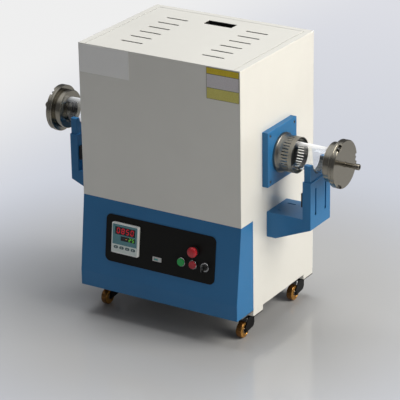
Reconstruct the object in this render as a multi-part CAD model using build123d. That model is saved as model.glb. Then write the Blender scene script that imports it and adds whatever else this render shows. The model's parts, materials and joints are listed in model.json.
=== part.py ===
from build123d import *
import math
import os

# Tube furnace on casters, one STEP file for each separate piece.
# Millimetres. X runs along the tube, Y points to the back and Z points up.
# Pieces are drawn with Y = 0 at the white front; save() then moves them so that
# the origin is on the floor under the middle of the tube.

os.makedirs("parts", exist_ok=True)

# ---- clearances -----------------------------------------------------------
SEAT = 0.3            # between pieces that are set against one another
SEAM = 0.6            # visible seam between two sheet panels
TOP_SEAM = 1.8        # wider seam round the lift-off top panel
RUN = 0.05            # radial running fit
MOVE = 0.4            # between a moving piece and its surround

# ---- cabinet --------------------------------------------------------------
CAB_W, CAB_D = 560.0, 436.0
CAB_TOP, CAB_BOTTOM = 872.0, 90.0
SHEET = 1.5
EDGE_R = 1.2          # rounding of the outer sheet corners
RIM_SIDE, RIM_REAR = 22.0, 20.0
SPLIT_Z = 385.0       # white front ends and blue base cover begins
CREASE_Z = 144.0
COVER_BOTTOM = 95.0
COVER_NOSE = 29.0     # how far the crease stands in front of the white front
COVER_WRAP = 67.5     # how far the cover runs back along each side
COVER_LIP = 14.0
POST = 25.0
POST_T = 2.0
TRAY_T = 2.0
SHELF_DROP = 161.0    # from the tube axis down to the shelf under the chamber
RING_W = 26.0         # width of the frame ring under the top panel

# ---- openings in the panels -----------------------------------------------
SLOT_X, SLOT_LEN, SLOT_W = 141.5, 77.0, 7.4
SLOT_ROWS, SLOT_Y0, SLOT_PITCH = 6, 80.0, 50.8
DUCT_W, DUCT_D, DUCT_FROM_REAR = 100.0, 36.5, 81.0
DUCT_LEN = 150.5
DUCT_T, DUCT_LIP = 1.2, 8.0
REAR_VENT_LEN, REAR_VENT_W, REAR_VENT_PITCH = 110.0, 6.0, 16.0
REAR_VENT_ROWS = 8
REAR_VENT_X, REAR_VENT_ZS = 120.0, (190.0, 640.0)
GLAND_IN, GLAND_Z = 90.0, 150.0       # in from the cabinet's left side, and above the floor
GLAND_HOLE_R, GLAND_BORE_R, GLAND_NUT_R = 10.2, 5.5, 14.5

# ---- casters ----------------------------------------------------------------
BLOCK_W, BLOCK_D, BLOCK_H = 57.0, 58.0, 16.0
CASTER_INSET, CASTER_FRONT = 35.0, 96.5
CASTER_TRAIL = 37.0
WHEEL_R, WHEEL_W, WHEEL_ROUND = 25.4, 22.0, 6.5
AXLE_R = 3.2
FORK_T, FORK_GAP = 2.5, 1.0
FORK_REAR, FORK_LOW = 11.0, 3.5   # how far its cheeks reach behind the king pin and below the axle
FORK_NOSE = 8.5       # how far its cheeks reach in front of the axle
PLATE_T = 3.0
RACE_R, RACE_H = 17.0, 8.5
KING_R = 5.0

# ---- tube line --------------------------------------------------------------
TUBE_Y, TUBE_Z = 210.0, 561.0
TUBE_R, TUBE_WALL = 40.0, 3.0
TUBE_OUT = 220.0      # how far the tube stands out of each side
SIDE_PLATE, SIDE_PLATE_T = 172.0, 20.0
SIDE_SCREW = 72.0     # corner screw offset from the plate's middle
BORE_R = 47.0         # hole through the side plate and the chamber's necks
COLLAR_R, COLLAR_WALL, COLLAR_LEN = 55.0, 1.6, 59.0
COLLAR_FOOT_R, COLLAR_FOOT_T, COLLAR_SWEEP = 61.0, 6.0, 15.0
COLLAR_SLOTS, COLLAR_SLOT_W = 36, 3.2
COLLAR_SLOT_X0, COLLAR_SLOT_LEN = 24.0, 22.0
CHAMBER_GAP, CHAMBER_S = 18.5, 250.0
CHAMBER_BORE_R, CHAMBER_NECK = 60.0, 40.0
ROD_R, ROD_COUNT = 3.5, 12

# ---- end flanges --------------------------------------------------------------
TUBE_ENTRY, TUBE_END_GAP = 0.7, 0.9   # how far the tube end enters the cap, and its room there
CAP_R, CAP_T = 73.5, 12.0
DISC_T = 8.0
NECK_R, NECK_LEN, NECK_MOUTH = 61.0, 25.0, 1.0
NOTCHES, NOTCH_W, NOTCH_DEPTH = 3, 25.0, 10.0
NOTCH_T = 8.0
RING_CORD_R, RING_SPOTS = 2.0, (9.0, 19.0)
PIPE_R, PIPE_LEN, PIPE_BORE_R = 6.75, 47.0, 4.5
KNOB_R, KNOB_LEN = 9.2, 16.0

# ---- support brackets -----------------------------------------------------------
BR_REACH, BR_T = 122.0, 27.5      # from the cabinet's side to the post, and the post's depth
BR_W = 122.0
BR_WALL = 3.0
BR_DROP = 56.0        # from the tube axis down to the post's open top
ARM_DROP, ARM_H = 175.0, 80.0
ARM_FLAT, ARM_SLOPE = 30.0, 49.0
BR_SLOT_Y, BR_SLOT_W, BR_SLOT_DROP, BR_SLOT_LEN = 30.0, 8.6, 123.0, 88.0
ARM_SLOT_FROM, ARM_SLOT_W, ARM_SLOT_LENS = 20.0, 6.0, (13.0, 29.0)
CRADLE_DROP, CRADLE_H = 4.0, 155.0
LINING_T = 2.0
BOLT_DROP, BOLT_R, BOLT_HEAD_R, BOLT_BITE = 131.0, 3.9, 6.0, 14.0
CLAMP_T, CLAMP_DROP, CLAMP_H = 8.0, 117.0, 44.0

# ---- control panel (u is measured down the slanted face from its top edge) -----
PANEL_X, PANEL_U, PANEL_W, PANEL_H = 3.0, 118.0, 390.0, 150.0
PANEL_T, PANEL_R = 2.5, 17.5
CTRL_X, CTRL_U, CTRL, CTRL_OUT = -117.0, 111.5, 96.0, 12.5
CTRL_BODY, CTRL_DEPTH = 91.0, 70.0
FACE_T, FACE_INSET = 1.2, 0.4
KEY_X, KEY_Y, KEY_L, KEY_W = 20.7, -28.5, 15.5, 8.6
KEY_TRAVEL, KEY_PROUD = 0.8, 0.9
WINDOWS = ((0.5, 24.4, 73.0, 25.0), (10.9, 1.2, 53.0, 15.0))
PORT_X, PORT_U, PORT_W, PORT_H = -4.0, 153.0, 32.0, 13.5
BUTTON_R, BEZEL_R, HOLE_R = 11.8, 14.2, 11.2
GREEN_X, RED_X, KEYSW_X, ROW_U = 83.0, 124.0, 165.0, 142.0
ESTOP_X, ESTOP_U, ESTOP_R = 125.5, 100.5, 16.2

half = CAB_W / 2
inner = half - SHEET
shelf_z = TUBE_Z - SHELF_DROP
duct_y = CAB_D - DUCT_FROM_REAR
caster_x = half - CASTER_INSET
caster_ys = (CASTER_FRONT, CAB_D - BLOCK_D / 2)
chamber_l = 2 * (inner - CHAMBER_GAP)
hot_l = chamber_l - 2 * CHAMBER_NECK
tube_len = CAB_W + 2 * TUBE_OUT
flange_face = tube_len / 2 - TUBE_ENTRY - SEAT + CAP_T
tube_pocket = TUBE_ENTRY + TUBE_END_GAP
br_in, br_top = half + BR_REACH, TUBE_Z - BR_DROP
br_out = br_in + BR_T
arm_top = TUBE_Z - ARM_DROP
arm_bottom = arm_top - ARM_H
cradle_top = TUBE_Z - CRADLE_DROP
bolt_z = TUBE_Z - BOLT_DROP
gland_x = GLAND_IN - half
slant = math.atan2(COVER_NOSE, SPLIT_Z - CREASE_Z)
control = Plane(origin=(0, 0, SPLIT_Z), x_dir=(1, 0, 0), z_dir=(0, -math.cos(slant), math.sin(slant)))
outward = Axis(control.origin, control.z_dir)
sides = (("left", -1), ("right", 1))
casters = [(f"{name}_{end}", s, y) for name, s in sides for end, y in zip(("front", "rear"), caster_ys)]


def block(x0, x1, y0, y1, z0, z1):
    """Box between two corners."""
    return Pos((x0 + x1) / 2, (y0 + y1) / 2, (z0 + z1) / 2) * Box(abs(x1 - x0), abs(y1 - y0), abs(z1 - z0))


def rod_x(r, x0, x1, y=TUBE_Y, z=TUBE_Z):
    """Cylinder along X between x0 and x1."""
    return Pos((x0 + x1) / 2, y, z) * Rot(0, 90, 0) * Cylinder(r, abs(x1 - x0))


def turned_x(points, x0, s):
    """Solid turned about the tube axis from (distance from x0, radius) points."""
    outline = Plane.XY * make_face(Polyline([(s * (x0 + a), r) for a, r in points], close=True))
    return Pos(0, TUBE_Y, TUBE_Z) * revolve(outline, Axis.X)


def on_panel(x, u, h0, h1, shape):
    """Place a shape of height h1 - h0 on the slanted face, h measured outwards."""
    return control.location * Pos(x, -u, (h0 + h1) / 2) * shape


def panel_disc(x, u, r, h0, h1):
    return on_panel(x, u, h0, h1, Cylinder(r, h1 - h0))


def panel_box(x, u, w, h, h0, h1):
    return on_panel(x, u, h0, h1, Box(w, h, h1 - h0))


def stadium(length, width, height):
    return extrude(SlotOverall(length, width), height / 2, both=True)


def save(name, shape):
    placed = Pos(0, -TUBE_Y, 0) * shape
    placed.label = name
    export_step(placed, f"parts/{name}.step")


# ===== cabinet ===================================================================
def chassis():
    tray = block(-inner, inner, SHEET, CAB_D - SHEET, CAB_BOTTOM, CAB_BOTTOM + TRAY_T)
    shelf = block(-inner, inner, SHEET, CAB_D - SHEET, shelf_z, shelf_z + TRAY_T)
    top = CAB_TOP - SHEET
    ring = block(-inner, inner, SHEET, CAB_D - SHEET, top - TRAY_T, top)
    ring -= block(-inner + RING_W, inner - RING_W, SHEET + RING_W, CAB_D - SHEET - RING_W, top - 9, top + 9)
    body = tray + shelf + ring
    for sx in (-1, 1):
        for y0, sy in ((SHEET, 1), (CAB_D - SHEET, -1)):
            x0 = sx * inner
            angle = block(x0 - sx * POST, x0, y0, y0 + sy * POST_T, CAB_BOTTOM, top)
            angle += block(x0 - sx * POST_T, x0, y0, y0 + sy * POST, CAB_BOTTOM, top)
            body += angle
    return body


def front_panel():
    panel = block(-half, half, 0, SHEET, SPLIT_Z + SEAM, CAB_TOP)
    edges = panel.edges().filter_by(Axis.Z).filter_by_position(Axis.Y, -0.01, 0.01)
    return fillet(edges, EDGE_R)


def side_panel(s):
    wall = block(s * inner, s * half, SHEET, CAB_D, CAB_BOTTOM, CAB_TOP)
    wall += block(s * (half - RIM_SIDE), s * half, SHEET, CAB_D, CAB_TOP - SHEET, CAB_TOP)
    top_edge = wall.edges().filter_by(Axis.Y).sort_by(lambda e: -s * e.center().X - e.center().Z)[0]
    wall = fillet(top_edge, EDGE_R)
    wall -= block(s * (inner - 9), s * (half + 9), -9, COVER_WRAP + SEAM, CAB_BOTTOM - 9, SPLIT_Z + SEAM)
    return wall - rod_x(BORE_R, s * (inner - 9), s * (half + 9))


def rear_panel():
    rim = half - RIM_SIDE - SEAM
    under = CAB_TOP - SHEET - SEAT
    wall = block(-inner + SEAT, inner - SEAT, CAB_D - SHEET, CAB_D, CAB_BOTTOM, under)
    wall += block(-rim, rim, CAB_D - SHEET, CAB_D, under - SHEET, CAB_TOP)
    wall += block(-rim, rim, CAB_D - RIM_REAR, CAB_D, CAB_TOP - SHEET, CAB_TOP)
    vent = Rot(90, 0, 0) * stadium(REAR_VENT_LEN, REAR_VENT_W, 9)
    for sx in (-1, 1):
        for row in range(REAR_VENT_ROWS):
            for z0 in REAR_VENT_ZS:
                wall -= Pos(sx * REAR_VENT_X, CAB_D, z0 + row * REAR_VENT_PITCH) * vent
    return wall - Pos(gland_x, CAB_D, GLAND_Z) * Rot(90, 0, 0) * Cylinder(GLAND_HOLE_R, 9)


def top_panel():
    rim = half - RIM_SIDE - TOP_SEAM
    panel = block(-rim, rim, SHEET, CAB_D - RIM_REAR - TOP_SEAM, CAB_TOP - SHEET, CAB_TOP)
    for sx in (-1, 1):
        for row in range(SLOT_ROWS):
            y = SLOT_Y0 + row * SLOT_PITCH
            panel -= Pos(sx * SLOT_X, y, CAB_TOP) * stadium(SLOT_LEN, SLOT_W, 9)
    return panel - Pos(0, duct_y, CAB_TOP) * Box(DUCT_W, DUCT_D, 9)


def exhaust_duct():
    top = CAB_TOP - SHEET
    middle = Pos(0, duct_y, top - DUCT_LEN / 2)
    duct = middle * Box(DUCT_W + 2 * DUCT_T, DUCT_D + 2 * DUCT_T, DUCT_LEN)
    duct += Pos(0, duct_y, top - DUCT_T / 2) * Box(DUCT_W + 2 * DUCT_LIP, DUCT_D + 2 * DUCT_LIP, DUCT_T)
    return duct - middle * Box(DUCT_W, DUCT_D, DUCT_LEN + 9)


def panel_cuts():
    """Openings shared by the base cover and the control panel."""
    cuts = panel_box(CTRL_X, CTRL_U, CTRL_BODY + 2 * SEAT, CTRL_BODY + 2 * SEAT, -9, 9)
    cuts += panel_box(PORT_X, PORT_U, PORT_W - 5, PORT_H - 4, -9, 9)
    cuts += panel_disc(ESTOP_X, ESTOP_U, HOLE_R, -9, 9)
    for x in (GREEN_X, RED_X, KEYSW_X):
        cuts += panel_disc(x, ROW_U, HOLE_R, -9, 9)
    return cuts


def base_cover():
    n = COVER_NOSE
    skin = SHEET
    outline = [(0, SPLIT_Z), (-n, CREASE_Z), (-n, COVER_BOTTOM), (COVER_WRAP, COVER_BOTTOM),
               (COVER_WRAP, SPLIT_Z)]
    hollow = [(skin + n / (SPLIT_Z - CREASE_Z) * 9, SPLIT_Z + 9), (-n + skin, CREASE_Z),
              (-n + skin, COVER_BOTTOM - 9), (COVER_WRAP + 9, COVER_BOTTOM - 9),
              (COVER_WRAP + 9, SPLIT_Z + 9)]
    outer = extrude(Plane.YZ * make_face(Polyline(outline, close=True)), half, both=True)
    front = outer.edges().filter_by(lambda e: abs(abs(e.center().X) - half) < 0.01 and e.center().Y < 0)
    outer = fillet([e for e in front if e.center().Z > COVER_BOTTOM + 1], EDGE_R)
    cover = outer - extrude(Plane.YZ * make_face(Polyline(hollow, close=True)), inner, both=True)
    cover += block(-inner, inner, -n + skin / 2, -n + COVER_LIP, COVER_BOTTOM, COVER_BOTTOM + SHEET)
    return cover - panel_cuts()


def foot_pad(sx, y, z0, z1):
    """Outline shared by a foot block and the caster plate under it."""
    return block(sx * (half - BLOCK_W), sx * half, y - BLOCK_D / 2, y + BLOCK_D / 2, z0, z1)


def foot_blocks():
    made = []
    for sx in (-1, 1):
        for y in caster_ys:
            foot = foot_pad(sx, y, CAB_BOTTOM - BLOCK_H, CAB_BOTTOM)
            made.append(fillet(foot.edges().filter_by(Axis.Z), 2.0))
    return Compound(children=made)


def rear_gland():
    axis = Pos(gland_x, CAB_D, GLAND_Z) * Rot(-90, 0, 0)
    nut = extrude(RegularPolygon(GLAND_NUT_R, 6), 7)
    cone = Polyline((0, 7), (12.5, 7), (12.5, 19), (8.5, 28), (0, 28), close=True)
    dome = revolve(Plane.XZ * make_face(cone), Axis.Z)
    shank = Pos(0, 0, -7) * Cylinder(GLAND_HOLE_R - SEAT, 14)
    lock = Pos(0, 0, -SHEET - 2.5) * extrude(RegularPolygon(GLAND_NUT_R, 6), 2.5, both=True)
    gland = nut + dome + shank + lock - Cylinder(GLAND_BORE_R, 90)
    return axis * gland


# ===== controls ==================================================================
def control_panel():
    plate = extrude(RectangleRounded(PANEL_W, PANEL_H, PANEL_R), PANEL_T)
    plate = chamfer(plate.edges().group_by(Axis.Z)[-1], 0.6)
    return control.location * Pos(PANEL_X, -PANEL_U, 0) * plate - panel_cuts()


def key_spots():
    return [(CTRL_X + KEY_X * k, CTRL_U - KEY_Y) for k in (-1.5, -0.5, 0.5, 1.5)]


def controller_body():
    bezel = Pos(0, 0, PANEL_T) * extrude(RectangleRounded(CTRL, CTRL, 3.5), CTRL_OUT - PANEL_T)
    bezel = chamfer(bezel.edges().group_by(Axis.Z)[-1], 1.2)
    body = control.location * Pos(CTRL_X, -CTRL_U, 0) * bezel
    body += panel_box(CTRL_X, CTRL_U, CTRL_BODY, CTRL_BODY, -CTRL_DEPTH, PANEL_T)
    floor = CTRL_OUT - FACE_INSET - FACE_T
    body -= panel_box(CTRL_X, CTRL_U, CTRL - 7.4, CTRL - 7.4, floor, CTRL_OUT + 9)
    body -= panel_box(CTRL_X, CTRL_U - 15.0, 77, 48, floor - 2.1, CTRL_OUT)
    for x, u in key_spots():
        body -= on_panel(x, u, floor - 5, floor + 1, stadium(KEY_L + 2 * MOVE, KEY_W + 2 * MOVE, 6))
    return body


def controller_face():
    floor = CTRL_OUT - FACE_INSET - FACE_T
    plate = panel_box(CTRL_X, CTRL_U, CTRL - 8, CTRL - 8, floor, floor + FACE_T)
    for x, y, w, h in WINDOWS:
        plate -= panel_box(CTRL_X + x, CTRL_U - y, w, h, floor - 5, floor + 5)
    for x, u in key_spots():
        plate -= on_panel(x, u, floor - 5, floor + 5, stadium(KEY_L + 2 * MOVE, KEY_W + 2 * MOVE, 10))
    return plate


def controller_display():
    floor = CTRL_OUT - FACE_INSET - FACE_T
    slab = panel_box(CTRL_X, CTRL_U - 15.0, 76.4, 47.4, floor - 2.1, floor)
    return slab


def controller_key(x, u):
    top = CTRL_OUT - FACE_INSET + KEY_PROUD
    floor = CTRL_OUT - FACE_INSET - FACE_T - 5
    bottom = floor + KEY_TRAVEL + MOVE
    key = on_panel(x, u, bottom, top, stadium(KEY_L, KEY_W, top - bottom))
    return fillet(key.faces().sort_by(outward)[-1].edges(), 0.5)


def data_port():
    frame = Pos(0, 0, PANEL_T) * extrude(RectangleRounded(PORT_W, PORT_H, 1.5), 2.2)
    frame = chamfer(frame.edges().group_by(Axis.Z)[-1], 0.5)
    body = control.location * Pos(PORT_X, -PORT_U, 0) * frame
    body += panel_box(PORT_X, PORT_U, PORT_W - 6, PORT_H - 5, -18, PANEL_T)
    body -= panel_box(PORT_X - 3, PORT_U, 14.0, 6.4, -12, 9)
    return body + panel_box(PORT_X - 3, PORT_U - 1.0, 11.5, 2.0, -12.5, PANEL_T + 0.5)


def estop_base():
    base = panel_disc(ESTOP_X, ESTOP_U, 14.6, PANEL_T, 6.5)
    base += panel_disc(ESTOP_X, ESTOP_U, HOLE_R - SEAT, -26, PANEL_T)
    base -= panel_disc(ESTOP_X, ESTOP_U, 8.3 + RUN, -20, 9)
    return base + panel_box(ESTOP_X, ESTOP_U, 28, 36, -52, -25)


def estop_button():
    r = ESTOP_R
    side = [(0, -13), (8.3, -13), (8.3, 11.9), (r - 3, 11.9), (r, 13.2), (r, 17.5)]
    arc = [(r - 0.6, 19.6), (r - 2.2, 21.4), (r - 5.0, 22.9), (r - 9.0, 23.8), (0, 24.2)]
    outline = make_face(Polyline(side + arc, close=True))
    return control.location * Pos(ESTOP_X, -ESTOP_U, 0) * revolve(Plane.XZ * outline, Axis.Z)


def button_bezels():
    made = []
    for x in (GREEN_X, RED_X):
        ring = panel_disc(x, ROW_U, BEZEL_R, PANEL_T, 8.0)
        ring = chamfer(ring.edges().sort_by(outward)[-1], 1.2)
        ring += panel_disc(x, ROW_U, HOLE_R - SEAT, -30, PANEL_T)
        ring -= panel_disc(x, ROW_U, BUTTON_R + MOVE, 4.0, 9)
        ring -= panel_disc(x, ROW_U, 8.5 + RUN, -20, 9)
        made.append(ring + panel_box(x, ROW_U, 24, 24, -50, -29))
    return Compound(children=made)


def push_button(x):
    cap = panel_disc(x, ROW_U, BUTTON_R, 7.4, 11.6)
    cap = fillet(cap.edges().sort_by(outward)[-1], 1.4)
    return cap + panel_disc(x, ROW_U, 8.5, -12, 7.4)


def key_switch_body():
    body = panel_disc(KEYSW_X, ROW_U, 14.6, PANEL_T, 7.5)
    body = chamfer(body.edges().sort_by(outward)[-1], 1.4)
    body += panel_disc(KEYSW_X, ROW_U, HOLE_R - SEAT, -30, PANEL_T)
    body -= panel_disc(KEYSW_X, ROW_U, 9.2 + RUN, -20, 9)
    return body + panel_box(KEYSW_X, ROW_U, 24, 24, -50, -29)


def key_switch_barrel():
    core = panel_disc(KEYSW_X, ROW_U, 9.2, -19, 8.6)
    bow = Plane.YZ * RectangleRounded(22.0, 18.0, 4.5)
    bow = extrude(bow, 1.4, both=True) - Pos(0, 0, 3.5) * Rot(0, 90, 0) * Cylinder(2.6, 9)
    bow = control.location * Pos(KEYSW_X, -ROW_U, 8.6 + 9.0) * bow
    blade = panel_box(KEYSW_X, ROW_U, 2.8, 9.0, 4, 10)
    return core + blade + bow


# ===== tube line ==================================================================
def side_plate(s):
    x0 = s * half
    plate = block(x0, x0 + s * SIDE_PLATE_T, TUBE_Y - SIDE_PLATE / 2, TUBE_Y + SIDE_PLATE / 2,
                  TUBE_Z - SIDE_PLATE / 2, TUBE_Z + SIDE_PLATE / 2)
    plate = chamfer(plate.faces().sort_by(Axis.X)[-1 if s > 0 else 0].edges(), 1.0)
    plate -= rod_x(BORE_R, x0 - s * 9, x0 + s * (SIDE_PLATE_T + 9))
    for dy in (-SIDE_SCREW, SIDE_SCREW):
        for dz in (-SIDE_SCREW, SIDE_SCREW):
            plate -= rod_x(5.0, x0 + s * (SIDE_PLATE_T - 5), x0 + s * 30, TUBE_Y + dy, TUBE_Z + dz)
    return plate


def side_plate_screws():
    made = []
    for name, s in sides:
        x0 = s * (half + SIDE_PLATE_T - 5)
        for dy in (-SIDE_SCREW, SIDE_SCREW):
            for dz in (-SIDE_SCREW, SIDE_SCREW):
                head = rod_x(4.5, x0, x0 + s * 4.2, TUBE_Y + dy, TUBE_Z + dz)
                socket = Pos(x0 + s * 4.2, TUBE_Y + dy, TUBE_Z + dz) * Rot(0, 90, 0)
                made.append(head - socket * extrude(RegularPolygon(2.3, 6), 2.4, both=True))
    return Compound(children=made)


def collar(s):
    r, t = COLLAR_R, COLLAR_WALL
    sweep = [(COLLAR_FOOT_T + COLLAR_SWEEP * (1 - math.cos(a)), r + (COLLAR_FOOT_R - r) * (1 - math.sin(a)))
             for a in [math.radians(v) for v in range(0, 91, 15)]]
    outline = [(0, r - t)] + [(0, COLLAR_FOOT_R)] + sweep + [(COLLAR_LEN, r), (COLLAR_LEN, r - t)]
    body = turned_x(outline, half + SIDE_PLATE_T, s)
    cuts = []
    for k in range(COLLAR_SLOTS // 2):
        x = s * (half + SIDE_PLATE_T + COLLAR_SLOT_X0 + COLLAR_SLOT_LEN / 2)
        slot = Box(COLLAR_SLOT_LEN, 2 * r + 9, COLLAR_SLOT_W)
        cuts.append(Pos(x, TUBE_Y, TUBE_Z) * Rot(180.0 * (k + 0.5) / (COLLAR_SLOTS / 2), 0, 0) * slot)
    return body - cuts


def rod_spots():
    ring = CHAMBER_BORE_R - ROD_R
    turns = [math.radians(360.0 * (k + 0.5) / ROD_COUNT) for k in range(ROD_COUNT)]
    return [(TUBE_Y + ring * math.cos(a), TUBE_Z + ring * math.sin(a)) for a in turns]


def chamber():
    x1, s1 = chamber_l / 2, CHAMBER_S / 2
    floor = shelf_z + TRAY_T
    body = block(-x1, x1, TUBE_Y - s1, TUBE_Y + s1, floor, TUBE_Z + s1)
    body = chamfer(body.edges().filter_by(Axis.X).group_by(Axis.Z)[-1], 20)
    body -= rod_x(BORE_R, -x1 - 9, x1 + 9)
    body -= rod_x(CHAMBER_BORE_R, -hot_l / 2, hot_l / 2)
    return body - Pos(0, TUBE_Y, TUBE_Z + s1) * Cylinder(3.3, 2 * s1 - CHAMBER_BORE_R)


def heater_set():
    x1 = hot_l / 2
    rods = [rod_x(ROD_R - 0.02, -x1, x1, y, z) for y, z in rod_spots()]
    return Compound(children=rods + [thermocouple()])


def thermocouple():
    top = TUBE_Z + CHAMBER_S / 2
    stem_end = TUBE_Z + TUBE_R + 4
    stem = Pos(0, TUBE_Y, (top + stem_end) / 2) * Cylinder(3.0, top - stem_end)
    head = Pos(0, TUBE_Y, top + 12) * Cylinder(14, 24)
    return stem + fillet(head.edges().filter_by(GeomType.CIRCLE).sort_by(Axis.Z)[-1], 3)


def quartz_tube():
    x1 = tube_len / 2
    tube = rod_x(TUBE_R, -x1, x1) - rod_x(TUBE_R - TUBE_WALL, -x1 - 9, x1 + 9)
    return tube


def flange(s):
    cap_in = flange_face - CAP_T
    disc_in = cap_in - DISC_T
    neck_in = disc_in - NECK_LEN
    bore = TUBE_R + 0.5
    seat = [(NECK_MOUTH, bore), (0, bore + NECK_MOUTH), (0, NECK_R - 1.5), (1.5, NECK_R),
            (NECK_LEN, NECK_R), (NECK_LEN, CAP_R - 1), (NECK_LEN + 1, CAP_R),
            (NECK_LEN + DISC_T - 1, CAP_R), (NECK_LEN + DISC_T, CAP_R - 1), (NECK_LEN + DISC_T, bore)]
    body = turned_x(seat, neck_in, s)
    for x in RING_SPOTS:
        groove = rod_x(bore + 2 * RING_CORD_R, s * (neck_in + x - 2.4), s * (neck_in + x + 2.4))
        body -= groove - rod_x(bore - 1, -900, 900)
    return body


def o_rings():
    neck_in = flange_face - CAP_T - DISC_T - NECK_LEN
    made = []
    for name, s in sides:
        for x in RING_SPOTS:
            made.append(Pos(s * (neck_in + x), TUBE_Y, TUBE_Z) * Rot(0, 90, 0)
                        * Torus(TUBE_R + RING_CORD_R + 0.1, RING_CORD_R))
    return Compound(children=made)


def cap_turns():
    return [360.0 * k / NOTCHES for k in range(NOTCHES)]


def end_cap(s):
    x0, x1 = s * (flange_face - CAP_T + SEAT), s * flange_face
    pocket, thick = TUBE_R + 1.5, CAP_T - SEAT
    outline = [(tube_pocket, 0), (tube_pocket, pocket), (0, pocket), (0, CAP_R - 1), (1, CAP_R),
               (thick - 1.5, CAP_R), (thick, CAP_R - 1.5), (thick, 0)]
    cap = turned_x(outline, flange_face - thick, s)
    for turn in cap_turns():
        notch = block(x1 - s * NOTCH_T, x1 + s * 9, CAP_R - NOTCH_DEPTH, CAP_R + 9,
                      -NOTCH_W / 2, NOTCH_W / 2)
        notch = fillet(notch.edges().filter_by(Axis.X).group_by(Axis.Y)[0], 3)
        cap -= Pos(0, TUBE_Y, TUBE_Z) * Rot(turn, 0, 0) * notch
    return cap - rod_x(PIPE_R - 1, x0 - s * 9, x1 + s * 9)


def cap_screws(s):
    made = []
    x0 = s * (flange_face - NOTCH_T)
    for turn in cap_turns():
        y = CAP_R - NOTCH_DEPTH / 2 - 0.4
        head = rod_x(3.9, x0, x0 + s * 5.5, y, 0)
        head -= Pos(x0 + s * 5.5, y, 0) * Rot(0, 90, 0) * extrude(RegularPolygon(2.0, 6), 2.5, both=True)
        made.append(Pos(0, TUBE_Y, TUBE_Z) * Rot(turn, 0, 0) * head)
    return Compound(children=made)


def gas_pipe(s):
    x0 = flange_face
    end = PIPE_LEN
    pipe = [(0, PIPE_BORE_R), (0, PIPE_R + 1.5), (2.5, PIPE_R + 1.5), (2.5, PIPE_R),
            (end - KNOB_LEN, PIPE_R), (end - KNOB_LEN, KNOB_R - 1),
            (end - KNOB_LEN + 1, KNOB_R), (end - 6, KNOB_R), (end - 5, KNOB_R - 1.2),
            (end - 4, KNOB_R), (end - 1, KNOB_R), (end, KNOB_R - 1), (end, PIPE_BORE_R)]
    stub = rod_x(PIPE_R - 1, s * (x0 - CAP_T + 2), s * x0) - rod_x(PIPE_BORE_R, s * (x0 - 40), s * (x0 + 9))
    return turned_x(pipe, x0, s) + stub


# ===== brackets ====================================================================
def slot_y():
    return (TUBE_Y - BR_SLOT_Y, TUBE_Y + BR_SLOT_Y)


def bracket(s):
    w = BR_W / 2
    knee = arm_bottom + ARM_SLOPE
    outline = [(half, arm_bottom), (half + ARM_FLAT, arm_bottom), (br_out, knee), (br_out, br_top),
               (br_in, br_top), (br_in, arm_top), (half, arm_top)]
    t = BR_WALL
    hollow = [(half + t, arm_bottom + t), (half + ARM_FLAT - 1, arm_bottom + t), (br_out - t, knee + t - 1),
              (br_out - t, br_top + 9), (br_in + t, br_top + 9), (br_in + t, arm_top - t),
              (half + t, arm_top - t)]
    front = Plane.XZ.offset(-TUBE_Y)
    skin = front * make_face(Polyline([(s * x, z) for x, z in outline], close=True))
    room = front * make_face(Polyline([(s * x, z) for x, z in hollow], close=True))
    body = extrude(skin, w, both=True)
    corners = body.edges().filter_by(Axis.Z).filter_by_position(Axis.X, s * br_out - 1, s * br_out + 1)
    body = fillet(corners, 1.2) - extrude(room, w - t, both=True)
    upright = Rot(0, 90, 0) * stadium(BR_SLOT_LEN, BR_SLOT_W, 2 * BR_T)
    for y, arm_len in zip(slot_y(), ARM_SLOT_LENS):
        body -= Pos(s * (br_in + br_out) / 2, y, TUBE_Z - BR_SLOT_DROP) * upright
        x = half + ARM_SLOT_FROM + arm_len / 2
        body -= Pos(s * x, y, arm_top) * stadium(arm_len, ARM_SLOT_W, 9)
    return body


def cradle(s):
    x0, x1 = br_in + BR_WALL + MOVE, br_out - BR_WALL - MOVE
    w = BR_W / 2 - BR_WALL - MOVE
    body = block(s * x0, s * x1, TUBE_Y - w, TUBE_Y + w, cradle_top - CRADLE_H, cradle_top)
    notch = TUBE_R + SEAT + LINING_T + 0.2
    body -= rod_x(notch, s * (x0 - 9), s * (x1 + 9))
    body -= block(s * (x0 - 9), s * (x1 + 9), TUBE_Y - notch, TUBE_Y + notch, TUBE_Z, cradle_top + 9)
    for y in slot_y():
        body -= rod_x(BOLT_R + 2 * RUN, s * (x0 - 9), s * (x0 + BOLT_BITE + 1), y, bolt_z)
    return body


def notch_lining(s):
    x0, x1 = br_in + BR_WALL + MOVE + 0.5, br_out - BR_WALL - MOVE - 0.5
    r = TUBE_R + SEAT
    ring = rod_x(r + LINING_T, s * x0, s * x1) - rod_x(r, s * (x0 - 9), s * (x1 + 9))
    wide = 2 * r
    return ring - block(s * (x0 - 9), s * (x1 + 9), TUBE_Y - wide, TUBE_Y + wide,
                        cradle_top - 1, TUBE_Z + wide)


def clamp_set(s):
    """Inner clamp plate with its two countersunk bolts, which bite into the cradle."""
    w = BR_W / 2 - 6
    x0, x1 = s * (br_in - SEAT - CLAMP_T), s * (br_in - SEAT)
    z = TUBE_Z - CLAMP_DROP
    plate = block(x0, x1, TUBE_Y - w, TUBE_Y + w, z - CLAMP_H / 2, z + CLAMP_H / 2)
    plate = chamfer(plate.edges().filter_by(Axis.Y), 0.8)
    for y in slot_y():
        plate += rod_x(BOLT_R, x1, s * (br_in + BR_WALL + MOVE + BOLT_BITE), y, bolt_z)
        rim = rod_x(BOLT_HEAD_R + 0.5, x0, x0 + s * 0.8, y, bolt_z)
        plate -= rim - rod_x(BOLT_HEAD_R, x0, x0 + s * 0.8, y, bolt_z)
        plate -= Pos(x0, y, bolt_z) * Rot(0, 90, 0) * extrude(RegularPolygon(2.9, 6), 2.5, both=True)
    return plate


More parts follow.
